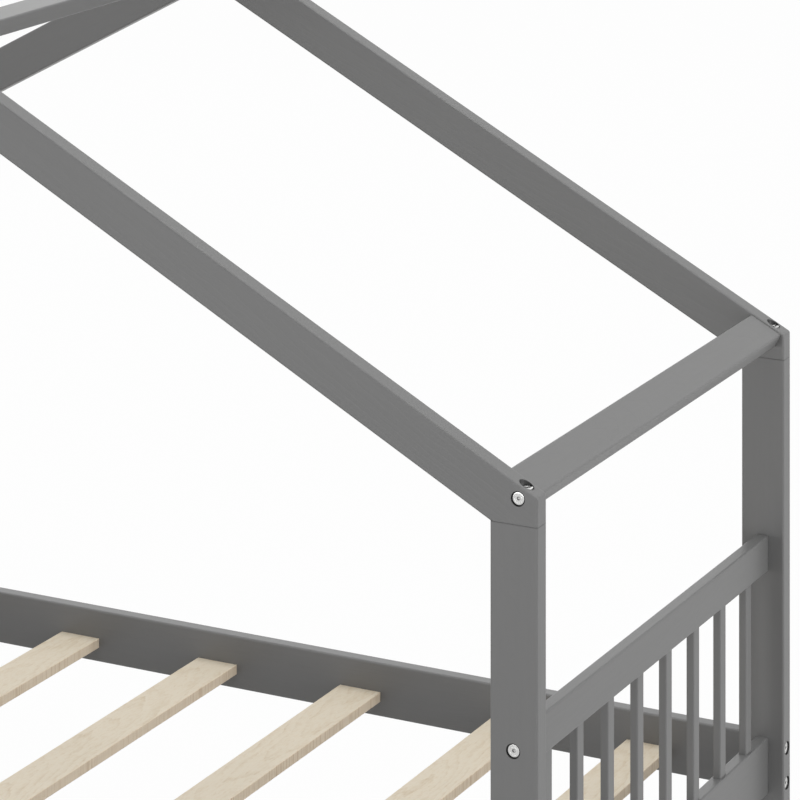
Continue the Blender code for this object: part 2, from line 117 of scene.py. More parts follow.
class Graph:
    """A node tree in the making, of a material, the world or Geometry Nodes."""

    def __init__(self, tree: bpy.types.NodeTree) -> None:
        """Start with an empty tree."""
        self.tree = tree
        tree.nodes.clear()

    def node(
        self,
        kind: str,
        settings: dict[str, object] | None = None,
        sockets: dict[str | int, object] | None = None,
        output: str | int = 0,
    ) -> Value | None:
        """Add a node, make its settings, and then fill its sockets.

        Args:
            kind: The node's type.
            settings: Values of the node's own properties. The setting "choices" gives an
                Index Switch its number of choices.
            sockets: Values or links for its inputs, by name or number.
            output: The output to return, by name or number.

        Returns:
            The chosen output, or None from a node that has none.
        """
        made = self.tree.nodes.new(kind)
        for name, setting in (settings or {}).items():
            if name == "choices":
                while len(made.index_switch_items) < setting:
                    made.index_switch_items.new()
            else:
                setattr(made, name, setting)
        for key, value in (sockets or {}).items():
            self.fill(made.inputs[key], value)
        outputs = made.outputs
        return Value(self, outputs[output]) if outputs else None

    def fill(self, socket: bpy.types.NodeSocket, value: object) -> None:
        """Set a socket to a value, or link it to a node's output, or to several in turn.

        Args:
            socket: The input to fill.
            value: A number, vector, colour or name, a Value, or a list of Values.
        """
        if isinstance(value, list):
            for item in value:
                self.tree.links.new(item.socket, socket)
        elif isinstance(value, Value):
            self.tree.links.new(value.socket, socket)
        elif socket.type == "RGBA":
            socket.default_value = (*value, 1.0)
        else:
            socket.default_value = value

    def maths(self, operation: str, *terms: Value | float) -> Value:
        """Add a Math node on one or two numbers."""
        return self.node("ShaderNodeMath", {"operation": operation}, dict(enumerate(terms)))

    def vector(self, operation: str, *terms: object) -> Value:
        """Add a Vector Math node whose result is a vector."""
        return self.node("ShaderNodeVectorMath", {"operation": operation}, dict(enumerate(terms)))

    def scaled(self, vector: object, factor: Value | float) -> Value:
        """Multiply a vector or a colour by a number."""
        sockets = {"Vector": vector, "Scale": factor}
        return self.node("ShaderNodeVectorMath", {"operation": "SCALE"}, sockets)

    def combined(self, x: Value | float, y: Value | float, z: Value | float) -> Value:
        """Make a vector of three numbers."""
        return self.node("ShaderNodeCombineXYZ", sockets={"X": x, "Y": y, "Z": z})

    def separated(self, vector: Value) -> tuple[Value, Value, Value]:
        """Return the three numbers of a vector."""
        x = self.node("ShaderNodeSeparateXYZ", sockets={"Vector": vector})
        outputs = x.socket.node.outputs
        return x, Value(self, outputs["Y"]), Value(self, outputs["Z"])

    def step(self, value: Value, low: float, high: float) -> Value:
        """Rise smoothly from 0 to 1 as a number goes from low to high."""
        settings = {"interpolation_type": "SMOOTHSTEP"}
        sockets = {"Value": value, "From Min": low, "From Max": high}
        return self.node("ShaderNodeMapRange", settings, sockets)

    def mixed(self, factor: Value | float, first: object, second: object) -> Value:
        """Mix two colours."""
        sockets = {"Factor": factor, 6: first, 7: second}
        return self.node("ShaderNodeMix", {"data_type": "RGBA"}, sockets, output=2)

    def noise(self, place: Value, stretch: Triple, seed: float) -> Value:
        """Return noise about 0, from -1 to 1, with so many waves per metre each way."""
        scaled = self.vector("MULTIPLY", place, stretch)
        sockets = {"Vector": scaled, "W": seed, "Scale": 1.0, "Detail": 2.0}
        raw = self.node("ShaderNodeTexNoise", {"noise_dimensions": "4D"}, sockets, output="Fac")
        return raw * 2 - 1


class Lay(Enum):
    """How a board lies in the bed: the directions of its length and of its width."""

    POST = ((0, 0, 1), (1, 0, 0))
    HEAD_RAFTER = ((SLOPE_COS, 0, -SLOPE_SIN), (SLOPE_SIN, 0, SLOPE_COS))
    FOOT_RAFTER = ((SLOPE_COS, 0, SLOPE_SIN), (-SLOPE_SIN, 0, SLOPE_COS))
    HEAD_EAVE_BOARD = ((0, 1, 0), (SLOPE_COS, 0, -SLOPE_SIN))
    FOOT_EAVE_BOARD = ((0, 1, 0), (SLOPE_COS, 0, SLOPE_SIN))
    FLAT_CROSS_BOARD = ((0, 1, 0), (1, 0, 0))
    PANEL_BOARD = ((0, 1, 0), (0, 0, 1))
    SIDE_RAIL = ((1, 0, 0), (0, 0, 1))
    SPINDLE = ((0, 0, 1), (0, 1, 0))

    def turn(self) -> Matrix:
        """Return the turn that lays the board's length along X and its width along Y."""
        length, width = (Vector(direction) for direction in self.value)
        return Matrix((length, width, length.cross(width)))


@dataclass(frozen=True)
class Timber:
    """The piece of a trunk that one board was sawn from."""

    node: str
    lay: Lay
    seed: int
    ring_width: float = 0.0042
    heart_aside: float = 0.03
    heart_depths: tuple[float, float] = (0.05, 0.11)
    lean_aside: float = 0.02
    lean_depths: tuple[float, float] = (0.04, 0.08)
    sway_waves: Triple = (5.0, 14.0, 14.0)
    sway_aside: float = 0.014
    sway_depth: float = 0.012
    ragged_waves: Triple = (30.0, 120.0, 120.0)
    ragged_share: float = 0.5
    dark_edge: float = 0.88

    def place(self, graph: Graph) -> Value:
        """Return the place along, across and through the board, in metres from its middle."""
        low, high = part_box(self.node)
        turn = self.lay.turn()
        middle = turn @ ((low + high) / 2)
        coordinates = graph.node("ShaderNodeTexCoord", output="Object")
        sockets = {"Vector": coordinates, "Location": -middle, "Rotation": turn.to_euler()}
        return graph.node("ShaderNodeMapping", sockets=sockets)

    def growth_rings(self, graph: Graph, place: Value) -> Value:
        """Return the growth rings, whose curves lean and sway along the board.

        The number rises across each ring, from 0 to 1 at its dark edge.
        """
        chance = random.Random(self.seed)
        heart_across = chance.uniform(-self.heart_aside, self.heart_aside)
        heart_depth = chance.uniform(*self.heart_depths) * chance.choice((-1, 1))
        lean_across = chance.uniform(-self.lean_aside, self.lean_aside)
        lean_depth = chance.uniform(*self.lean_depths) * chance.choice((-1, 1))
        along, across, through = graph.separated(place)
        sway = graph.noise(place, self.sway_waves, self.seed + 0.5)
        across = across + along * lean_across + sway * self.sway_aside - heart_across
        through = through + along * lean_depth + sway * self.sway_depth - heart_depth
        ragged = graph.noise(place, self.ragged_waves, self.seed + 0.8) * self.ragged_share
        distance = (across * across + through * through) ** 0.5
        rise = (distance / self.ring_width + ragged) % 1.0
        return rise**3 * (1 - graph.step(rise, self.dark_edge, 1.0))


@dataclass(frozen=True)
class Seat:
    """Where a turned piece sits: the point it is set on, and the way it faces."""

    point: Vector
    facing: Vector

    def is_in(self, node: str) -> bool:
        """Tell whether the recess of the piece is sunk into a board."""
        low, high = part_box(node)
        inside = self.point - self.facing * RECESS_PROBE
        return all(low[i] < inside[i] < high[i] for i in range(3))

    def distance(self, graph: Graph) -> Value:
        """Return each point's distance to the axis of the piece."""
        place = graph.node("ShaderNodeTexCoord", output="Object")
        offset = graph.vector("SUBTRACT", place, self.point)
        settings, sockets = {"operation": "DOT_PRODUCT"}, {0: offset, 1: self.facing}
        depth = graph.node("ShaderNodeVectorMath", settings, sockets, output="Value")
        across = graph.vector("SUBTRACT", offset, graph.scaled(self.facing, depth))
        settings = {"operation": "LENGTH"}
        return graph.node("ShaderNodeVectorMath", settings, {0: across}, output="Value")


@dataclass(frozen=True)
class Finish:
    """What all the finishes of this bed share."""

    slot: str

    def material(self, name: str) -> tuple[bpy.types.Material, Graph]:
        """Return a new material of this finish, and its empty graph."""
        made = bpy.data.materials.new(f"{self.slot}.{name}")
        made.use_nodes = True
        return made, Graph(made.node_tree)

    def surface(self, graph: Graph, sockets: dict[str, object]) -> None:
        """Put the Principled shader of these sockets on the surface."""
        shader = graph.node("ShaderNodeBsdfPrincipled", sockets=sockets)
        graph.node("ShaderNodeOutputMaterial", sockets={"Surface": shader})

    def relief(self, graph: Graph, height: Value, depth: float, edge: float) -> Value:
        """Return the normal of a surface with fine relief and slightly eased edges.

        Args:
            graph: The material's graph.
            height: The relief's height, as a multiple of its depth.
            depth: The relief's depth in metres.
            edge: The radius that the edges are eased by, in metres.

        Returns:
            The normal.
        """
        eased = graph.node("ShaderNodeBevel", {"samples": 6}, {"Radius": edge})
        sockets = {"Strength": 1.0, "Distance": depth, "Height": height, "Normal": eased}
        return graph.node("ShaderNodeBump", sockets=sockets)


@dataclass(frozen=True)
class GreyLacquer(Finish):
    """Satin grey lacquer on softwood, whose grain shows through as a faint relief."""

    slot: str = "grey_lacquer"
    colour: Triple = (0.178, 0.178, 0.177)
    roughness: float = 0.42
    fibre_shade: float = 0.032
    cloud_shade: float = 0.008
    ring_shade: float = 0.006
    relief_depth: float = 0.00007
    edge: float = 0.0005
    recess_radius: float = 0.0105
    # Painted shade: the share of colour taken off the recess walls for the shadow in them.
    painted_recess_shade: float = 0.7
    # Painted shade: a band at each post's top, under the rafter's seat, is darkened for the seam's
    # shadow.
    joint_line: float = 0.002
    painted_seam_shade: float = 0.3
    joint_fade: float = 0.0005
    recess_fade: float = 0.0003
    fibre_waves: Triple = (7.0, 170.0, 170.0)
    cloud_waves: Triple = (5.0, 45.0, 45.0)
    cloud_roughness: float = 0.03

    def recesses(self, graph: Graph, seats: list[Seat]) -> Value | float:
        """Return 1 on the walls of the recesses round some seats, and 0 elsewhere."""
        inside = 0.0
        outer = self.recess_radius + self.recess_fade
        for seat in seats:
            edge = graph.step(seat.distance(graph), self.recess_radius, outer)
            inside = graph.maths("MAXIMUM", inside, 1 - edge)
        return inside

    def on(self, timber: Timber, seats: list[Seat]) -> bpy.types.Material:
        """Return the lacquer as it looks on one board, with the seats that are sunk into it."""
        made, graph = self.material(timber.node)
        place = timber.place(graph)
        rings = timber.growth_rings(graph, place)
        fibres = graph.noise(place, self.fibre_waves, timber.seed + 0.1)
        clouds = graph.noise(place, self.cloud_waves, timber.seed + 0.2)
        shade = 1 + fibres * self.fibre_shade + clouds * self.cloud_shade - rings * self.ring_shade
        # Painted shade: the walls of the bolt and screw recesses are darkened for the shadow that
        # falls in them.
        shade = shade * (1 - self.recesses(graph, seats) * self.painted_recess_shade)
        # Painted shade: darken a band at the top of each post for the shadow in the seam under the
        # rafter.
        if timber.lay is Lay.POST:
            low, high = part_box(timber.node)
            top = (high.z - low.z) / 2
            start, end = top - self.joint_line, top - self.joint_fade
            line = graph.step(graph.separated(place)[0], start, end)
            shade = shade * (1 - line * self.painted_seam_shade)
        sockets = {
            "Base Color": graph.scaled(self.colour, shade),
            "Roughness": self.roughness + clouds * self.cloud_roughness,
            "Normal": self.relief(graph, fibres - rings, self.relief_depth, self.edge),
        }
        self.surface(graph, sockets)
        return made


@dataclass(frozen=True)
class BarePine(Finish):
    """Planed pine without a finish: pale faces with soft rings, and browner sawn sides."""

    slot: str = "bare_pine"
    pale: Triple = (0.85, 0.76, 0.61)
    ring_edge: Triple = (0.64, 0.50, 0.32)
    # Painted light: the sawn sides are coloured lighter than the planed faces, to make up for the
    # shade between the slats; the brown streaks are the wood's own.
    sawn: Triple = (0.95, 0.81, 0.63)
    streak: Triple = (0.60, 0.43, 0.26)
    roughness: float = 0.6
    relief_depth: float = 0.00015
    edge: float = 0.0006
    blotch_waves: Triple = (26.0, 70.0, 70.0)
    fibre_waves: Triple = (80.0, 250.0, 250.0)
    fleck_waves: Triple = (90.0, 260.0, 260.0)
    fleck_range: tuple[float, float] = (0.15, 0.6)
    ring_dark: float = 0.32
    ring_patches: float = 0.6
    fleck_dark: float = 0.35
    fibre_dark: float = 0.5
    blotch_dark: float = 0.15
    overall_dark: float = 0.05
    fibre_shade: float = 0.06
    bunch_waves: Triple = (14.0, 2.0, 2.0)
    bunch_range: tuple[float, float] = (-0.3, 0.4)
    bunch_dark: float = 0.45
    mark_waves: Triple = (330.0, 4.0, 12.0)
    mark_range: tuple[float, float] = (-0.15, 0.3)
    mark_dark: float = 0.2
    mark_shade: float = 0.08
    side_start: float = 0.0012
    side_end: float = 0.0004
    relief_waves: Triple = (16.0, 260.0, 260.0)
    relief_roughness: float = 0.08

    def planed(self, graph: Graph, timber: Timber, place: Value) -> Value:
        """Return a planed face's colour, with soft arcs, blotches, fibres and dark flecks."""
        rings = timber.growth_rings(graph, place)
        blotches = graph.noise(place, self.blotch_waves, timber.seed + 0.2)
        fibres = graph.noise(place, self.fibre_waves, timber.seed + 0.1)
        specks = graph.noise(place, self.fleck_waves, timber.seed + 0.3)
        flecks = graph.step(specks, *self.fleck_range)
        dark = rings * (self.ring_dark + blotches * self.ring_patches)
        dark = dark + flecks * self.fleck_dark + fibres * self.fibre_dark
        dark = dark + blotches * self.blotch_dark
        colour = graph.mixed(dark + self.overall_dark, self.pale, self.ring_edge)
        return graph.scaled(colour, 1 + fibres * self.fibre_shade)

    def sawn_side(self, graph: Graph, timber: Timber, place: Value) -> Value:
        """Return the colour of a sawn side, with bunches of brown saw marks."""
        bunches = graph.noise(place, self.bunch_waves, timber.seed + 0.6)
        bunches = graph.step(bunches, *self.bunch_range)
        marks = graph.noise(place, self.mark_waves, timber.seed + 0.4)
        dark = graph.step(marks, *self.mark_range) * (bunches * self.bunch_dark + self.mark_dark)
        # Painted light: the sawn colour is lighter than the faces' for the shade between the
        # slats.
        colour = graph.mixed(dark, self.sawn, self.streak)
        return graph.scaled(colour, 1 + marks * self.mark_shade)

    def on(self, timber: Timber, seats: list[Seat]) -> bpy.types.Material:
        """Return the bare wood as it looks on one slat, which has no bolts sunk into it."""
        made, graph = self.material(timber.node)
        place = timber.place(graph)
        low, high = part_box(timber.node)
        half_width = (high.x - low.x) / 2
        across = graph.separated(place)[1]
        start, end = half_width - self.side_start, half_width - self.side_end
        on_side = graph.step(abs(across), start, end)
        face = self.planed(graph, timber, place)
        side = self.sawn_side(graph, timber, place)
        fibres = graph.noise(place, self.relief_waves, timber.seed + 0.7)
        sockets = {
            "Base Color": graph.mixed(on_side, face, side),
            "Roughness": self.roughness + fibres * self.relief_roughness,
            "Normal": self.relief(graph, fibres, self.relief_depth, self.edge),
        }
        self.surface(graph, sockets)
        return made


@dataclass(frozen=True)
class ZincPlate(Finish):
    """Bright zinc plating, faintly cloudy from the bath."""

    slot: str = "zinc_plate"
    bright: Triple = (0.61, 0.61, 0.60)
    dull: Triple = (0.54, 0.54, 0.53)
    roughness: float = 0.16
    # Painted shade: the share of colour taken off inside each hex socket for the shadow in it.
    painted_socket_shade: float = 0.4
    relief_depth: float = 0.000002
    edge: float = 0.0003
    cloud_waves: Triple = (400.0, 400.0, 400.0)
    cloud_roughness: float = 0.06
    grain_waves: Triple = (2500.0, 2500.0, 2500.0)
    socket_roughness: float = 0.2

    def on(self, name: str) -> bpy.types.Material:
        """Return the plating of one row of bolts, nuts or screws."""
        made, graph = self.material(name)
        place = graph.node("ShaderNodeTexCoord", output="Object")
        clouds = graph.noise(place, self.cloud_waves, 1.0)
        grains = graph.noise(place, self.grain_waves, 2.0)
        settings = {"attribute_name": "in_socket"}
        in_socket = graph.node("ShaderNodeAttribute", settings, output="Fac")
        plating = graph.mixed(clouds * 0.5 + 0.5, self.bright, self.dull)
        roughness = self.roughness + clouds * self.cloud_roughness
        # Painted shade: the inside of each hex socket is darker for the shadow there; its
        # roughness also rises there.
        sockets = {
            "Base Color": graph.scaled(plating, 1 - in_socket * self.painted_socket_shade),
            "Metallic": 1.0,
            "Roughness": roughness + in_socket * self.socket_roughness,
            "Normal": self.relief(graph, grains, self.relief_depth, self.edge),
        }
        self.surface(graph, sockets)
        return made


@dataclass
class Joinery:
    """A sub-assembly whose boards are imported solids, each dressed as its own timber."""

    finish: GreyLacquer | BarePine
    seed: int
    ring_width: float = 0.0042

    def boards(self) -> dict[str, Lay]:
        """Return the sub-assembly's nodes and how each lies."""
        return {}

    def dress(self, seats: list[Seat]) -> None:
        """Give every board its own material in the finish.

        Args:
            seats: The seats of all the bolts and screws.
        """
        for number, (node, lay) in enumerate(self.boards().items()):
            timber = Timber(node, lay, self.seed + number, self.ring_width)
            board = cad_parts[node]
            board.data.materials.clear()
            sunk = [seat for seat in seats if seat.is_in(node)]
            board.data.materials.append(self.finish.on(timber, sunk))
            log.info("%s: %s, %s", node, self.finish.slot, lay.name.lower())


@dataclass
class GableFrames(Joinery):
    """The two gables over the long sides: four posts and the four rafters that they carry."""

    def boards(self) -> dict[str, Lay]:
        """Return the posts and rafters and how each lies."""
        corners = [(end, side) for end in ("head", "foot") for side in ("front", "back")]
        posts = {f"post_{end}_{side}": Lay.POST for end, side in corners}
        lays = {"head": Lay.HEAD_RAFTER, "foot": Lay.FOOT_RAFTER}
        return posts | {f"rafter_{end}_{side}": lays[end] for end, side in corners}


@dataclass
class RoofBoards(Joinery):
    """The ridge board and the two eave boards that tie the gables together."""

    def boards(self) -> dict[str, Lay]:
        """Return the boards and how each lies."""
        return {
            "eave_board_head": Lay.HEAD_EAVE_BOARD,
            "eave_board_foot": Lay.FOOT_EAVE_BOARD,
            "ridge_board": Lay.FLAT_CROSS_BOARD,
        }


@dataclass
class EndPanel(Joinery):
    """The panel at one end: a top rail and a lower board with flat spindles between them."""

    end: str = "head"
    spindle_count: int = 8

    def boards(self) -> dict[str, Lay]:
        """Return the panel's pieces and how each lies."""
        crosswise = {
            f"{self.end}_top_rail": Lay.PANEL_BOARD,
            f"{self.end}_lower_board": Lay.PANEL_BOARD,
        }
        numbers = range(1, self.spindle_count + 1)
        return crosswise | {f"{self.end}_spindle_{number}": Lay.SPINDLE for number in numbers}


@dataclass
class SideRails(Joinery):
    """The two long rails that hold the slats' ends."""

    def boards(self) -> dict[str, Lay]:
        """Return the rails and how each lies."""
        return {"side_rail_front": Lay.SIDE_RAIL, "side_rail_back": Lay.SIDE_RAIL}


@dataclass
class Slats(Joinery):
    """The loose slats that carry the mattress."""

    ring_width: float = 0.0065
    count: int = 7

    def boards(self) -> dict[str, Lay]:
        """Return the slats and how each lies."""
        return {f"slat_{number}": Lay.FLAT_CROSS_BOARD for number in range(1, self.count + 1)}


class TurnedPieces(Graph):
    """A Geometry Nodes tree that turns one piece and sets a copy of it on every seat."""

    def __init__(self, name: str, sizes: dict[str, float]) -> None:
        """Start the tree with its named inputs.

        Args:
            name: The tree's name.
            sizes: The sizes that the modifier has inputs for, in metres.
        """
        super().__init__(bpy.data.node_groups.new(name, "GeometryNodeTree"))
        self.sizes = sizes
        self.add_socket("Seats", "INPUT", "NodeSocketGeometry")
        for size in sizes:
            self.add_socket(size, "INPUT", "NodeSocketFloat")
        self.add_socket("Seed", "INPUT", "NodeSocketInt")
        self.add_socket("Plating", "INPUT", "NodeSocketMaterial")
        self.add_socket("Pieces", "OUTPUT", "NodeSocketGeometry")
        self.inputs = self.node("NodeGroupInput").socket.node.outputs

    def add_socket(self, name: str, side: str, kind: str) -> None:
        """Add an input or output to the tree's interface."""
        self.tree.interface.new_socket(name=name, in_out=side, socket_type=kind)

    def given(self, name: str) -> Value:
        """Return one of the tree's named inputs."""
        return Value(self, self.inputs[name])

    def grid(self, rings: Value | int, sides: int) -> tuple[Value, Value, Value]:
        """Start a turned shell as a flat sheet of rings.

        Args:
            rings: The number of rings.
            sides: The number of sides round a ring.

        Returns:
            The sheet, each vertex's ring number, and its angle round the axis.
        """
        counts = {"Vertices X": rings, "Vertices Y": sides + 1}
        sheet = self.node("GeometryNodeMeshGrid", sockets=counts, output="Mesh")
        index = self.node("GeometryNodeInputIndex")
        ring = self.maths("FLOOR", (index + 0.5) / (sides + 1))
        angle = (index - ring * (sides + 1)) * (math.tau / sides)
        return sheet, ring, angle

    def closed(self, sheet: Value, radius: Value, angle: Value, height: Value) -> Value:
        """Roll a sheet into a closed shell.

        Args:
            sheet: The flat sheet.
            radius: Each vertex's distance to the axis.
            angle: Each vertex's angle round the axis.
            height: Each vertex's height along the axis.

        Returns:
            The shell, with its seam and poles merged.
        """
        x = radius * self.maths("COSINE", angle)
        y = radius * self.maths("SINE", angle)
        sockets = {"Geometry": sheet, "Position": self.combined(x, y, height)}
        rolled = self.node("GeometryNodeSetPosition", sockets=sockets)
        sockets = {"Geometry": rolled, "Distance": WELD_DISTANCE}
        return self.node("GeometryNodeMergeByDistance", sockets=sockets)

    def turned(self, profile: list[tuple[object, object, bool]], sides: int = 24) -> Value:
        """Turn a profile round the axis.

        Args:
            profile: From the tip to the top: a radius, a height, and whether the ring is
                in a six-sided socket, with that radius to its flats.
            sides: The number of sides, a multiple of six.

        Returns:
            The closed shell.
        """
        sheet, ring, angle = self.grid(len(profile), sides)
        radius = self.chosen(ring, [row[0] for row in profile])
        height = self.chosen(ring, [row[1] for row in profile])
        six_sided = self.chosen(ring, [float(row[2]) for row in profile])
        from_flat = angle % (math.pi / 3) - math.pi / 6
        widening = 1 / self.maths("COSINE", from_flat) - 1
        settings = {"data_type": "FLOAT", "domain": "POINT"}
        sockets = {"Geometry": sheet, "Name": "in_socket", "Value": six_sided}
        marked = self.node("GeometryNodeStoreNamedAttribute", settings, sockets)
        return self.closed(marked, radius * (1 + six_sided * widening), angle, height)

    def chosen(self, ring: Value, choices: list[object]) -> Value:
        """Choose a number by the number of a ring."""
        settings = {"data_type": "FLOAT", "choices": len(choices)}
        sockets = {"Index": ring} | {number + 1: value for number, value in enumerate(choices)}
        return self.node("GeometryNodeIndexSwitch", settings, sockets)

    def thread(
        self, start: Value, end: Value, core: Value, depth: Value | float, pitch: Value
    ) -> Value:
        """Cut a right-handed thread as a closed sleeve round the axis.

        Args:
            start: The height of the thread's lower end.
            end: The height of its upper end.
            core: The radius at the thread's root.
            depth: The height of its crests over the root.
            pitch: The distance between two crests.

        Returns:
            The sleeve, whose crests run out at both ends.
        """
        sides, steps = 12, 6
        full_from, full_to = 0.06, 0.94
        rings = self.maths("ROUND", (end - start) / pitch * steps) + 3
        sheet, ring, angle = self.grid(rings, sides)
        part = self.maths("MAXIMUM", self.maths("MINIMUM", (ring - 1) / (rings - 3), 1), 0)
        height = start + (end - start) * part
        phase = (height / pitch - angle / math.tau) % 1.0
        crest = 1 - abs(phase * 2 - 1)
        runout = self.step(part, 0.0, full_from) * (1 - self.step(part, full_to, 1.0))
        inside = self.step(ring, 0.4, 0.6) * (1 - self.step(ring - rings, -1.6, -1.4))
        radius = (core + depth * crest * runout) * inside
        return self.closed(sheet, radius, angle, height)

    def finish(self, shells: list[Value]) -> None:
        """Set the piece on every seat, at a chance roll round its own axis, and end the tree.

        Args:
            shells: The closed shells that make up one piece.
        """
        piece = self.node("GeometryNodeJoinGeometry", sockets={"Geometry": shells})
        sockets = {2: 0.0, 3: math.tau, "Seed": self.given("Seed")}
        roll = self.node("FunctionNodeRandomValue", {"data_type": "FLOAT"}, sockets, output=1)
        rolled = self.node("FunctionNodeEulerToRotation", sockets={0: self.combined(0, 0, roll)})
        settings = {"data_type": "FLOAT_VECTOR"}
        facing = self.node("GeometryNodeInputNamedAttribute", settings, {"Name": "facing"})
        sockets = {"Rotation": rolled, "Vector": facing}
        rotation = self.node("FunctionNodeAlignRotationToVector", {"axis": "Z"}, sockets)
        sockets = {"Points": self.given("Seats"), "Instance": piece, "Rotation": rotation}
        placed = self.node("GeometryNodeInstanceOnPoints", sockets=sockets)
        real = self.node("GeometryNodeRealizeInstances", sockets={"Geometry": placed})
        smooth = self.node("GeometryNodeSetShadeSmooth", sockets={"Geometry": real})
        sockets = {"Geometry": smooth, "Material": self.given("Plating")}
        plated = self.node("GeometryNodeSetMaterial", sockets=sockets)
        self.node("NodeGroupOutput", sockets={"Pieces": plated})

    def make(
        self, name: str, seats: list[Seat], seed: int, plating: bpy.types.Material
    ) -> bpy.types.Object:
        """Run the tree on seats and keep the result as a plain mesh.

        Args:
            name: The new piece's name.
            seats: Where each copy sits.
            seed: The seed of the copies' rolls.
            plating: Their material.

        Returns:
            The piece, with no modifier left on it.
        """
        points = bpy.data.meshes.new(f"{name}_seats")
        points.from_pydata([seat.point for seat in seats], [], [])
        facing = points.attributes.new("facing", "FLOAT_VECTOR", "POINT")
        for row, seat in zip(facing.data, seats):
            row.vector = seat.facing
        piece = bpy.data.objects.new(name, points)
        bpy.context.scene.collection.objects.link(piece)
        modifier = piece.modifiers.new("turned_pieces", "NODES")
        modifier.node_group = self.tree
        values = self.sizes | {"Seed": seed, "Plating": plating}
        for item in self.tree.interface.items_tree:
            if item.name in values:
                modifier[item.identifier] = values[item.name]
        graph = bpy.context.evaluated_depsgraph_get()
        mesh = bpy.data.meshes.new_from_object(piece.evaluated_get(graph))
        piece.modifiers.remove(modifier)
        piece.data = mesh
        mesh.name = name
        mesh.set_sharp_from_angle(angle=SHARP_ANGLE)
        bpy.data.meshes.remove(points)
        return piece


@dataclass(frozen=True)
class BoltRow:
    """The bolts of one kind of joint, each with the barrel nut that it is screwed into."""

    name: str
    seats: list[Seat]
    nut_facings: list[Vector]
    length: float
    nodes: list[str]


